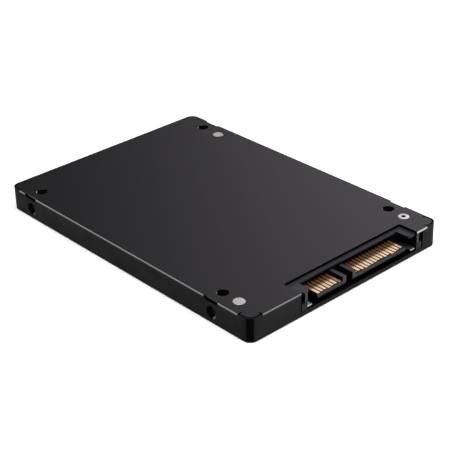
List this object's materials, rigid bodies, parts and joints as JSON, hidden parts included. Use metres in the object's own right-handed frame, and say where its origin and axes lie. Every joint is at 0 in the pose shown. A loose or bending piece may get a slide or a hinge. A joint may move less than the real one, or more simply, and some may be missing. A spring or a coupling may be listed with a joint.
{
  "type": "solid state drive",
  "caption": "Low-profile 2.5 inch solid state drive: shallow black metal case with a screwed cover plate, tapped mounting holes and a combined data and power plug at one end.",
  "frame": {"origin": "middle of the label face, which lies on Z = 0", "axes": "+X across the drive towards the power end of the plug, +Y along the drive away from the plug, +Z from the label face up through the face with the mounting holes"},
  "size_m": [0.0698, 0.1002, 0.007],
  "materials": {
    "case_black": "die-cast, black coated",
    "plate_black": "satin black pre-painted sheet, bare sheared edges",
    "screw_steel": "nickel plated",
    "seal_foil": "matt foil",
    "label_film": "matt printed film",
    "board_green": "solder mask over glass epoxy",
    "plug_plastic": "moulded glass filled polymer",
    "contact_gold": "gold plated",
    "tab_tinned": "tin plated",
    "chip_mould": "epoxy moulding",
    "crystal_can": "metal lid",
    "inductor_grey": "pressed iron powder",
    "tantalum_body": "moulded case",
    "ceramic_tan": "fired ceramic with tinned ends",
    "resistor_black": "thick film with tinned ends",
    "heat_pad": "soft filled silicone"
  },
  "bodies": {
    "case": {"base_case": "case_black", "label": "label_film", "flash_heat_pads_lower": "heat_pad"},
    "board": {"circuit_board": "board_green", "connector_housing": "plug_plastic", "signal_contacts": "contact_gold", "power_contacts": "contact_gold", "connector_tabs": "tab_tinned", "controller_chip": "chip_mould", "memory_chips": "chip_mould", "flash_chips_upper": "chip_mould", "flash_chips_lower": "chip_mould", "power_manager_chip": "chip_mould", "boot_flash_chip": "chip_mould", "input_fuse_chip": "chip_mould", "temperature_sensor": "chip_mould", "surge_diodes": "chip_mould", "clock_crystal": "crystal_can", "power_inductors": "inductor_grey", "holdup_capacitors": "tantalum_body", "ceramic_capacitors": "ceramic_tan", "chip_resistors": "resistor_black"},
    "board_fixings": {"board_screws": "screw_steel"},
    "cover": {"cover_plate": "plate_black", "flash_heat_pads_upper": "heat_pad", "controller_heat_pad": "heat_pad"},
    "cover_fixings": {"cover_screws": "screw_steel", "screw_seals": "seal_foil"}
  },
  "joints": [
    {"name": "cover_lift", "type": "slide", "parent": "case", "child": "cover", "axis": [0, 0, 1], "range_m": [0, 0.045]},
    {"name": "cover_screws_out", "type": "slide", "parent": "case", "child": "cover_fixings", "axis": [0, 0, 1], "range_m": [0, 0.06]},
    {"name": "board_screws_out", "type": "slide", "parent": "case", "child": "board_fixings", "axis": [0, 0, 1], "range_m": [0, 0.03]},
    {"name": "board_lift", "type": "slide", "parent": "case", "child": "board", "axis": [0, 0, 1], "range_m": [0, 0.015]}
  ],
  "couplings": [
    {"joint": "cover_screws_out", "follows": "cover_lift", "ratio": 1.3333},
    {"joint": "board_screws_out", "follows": "cover_lift", "ratio": 0.66667},
    {"joint": "board_lift", "follows": "cover_lift", "ratio": 0.33333}
  ]
}
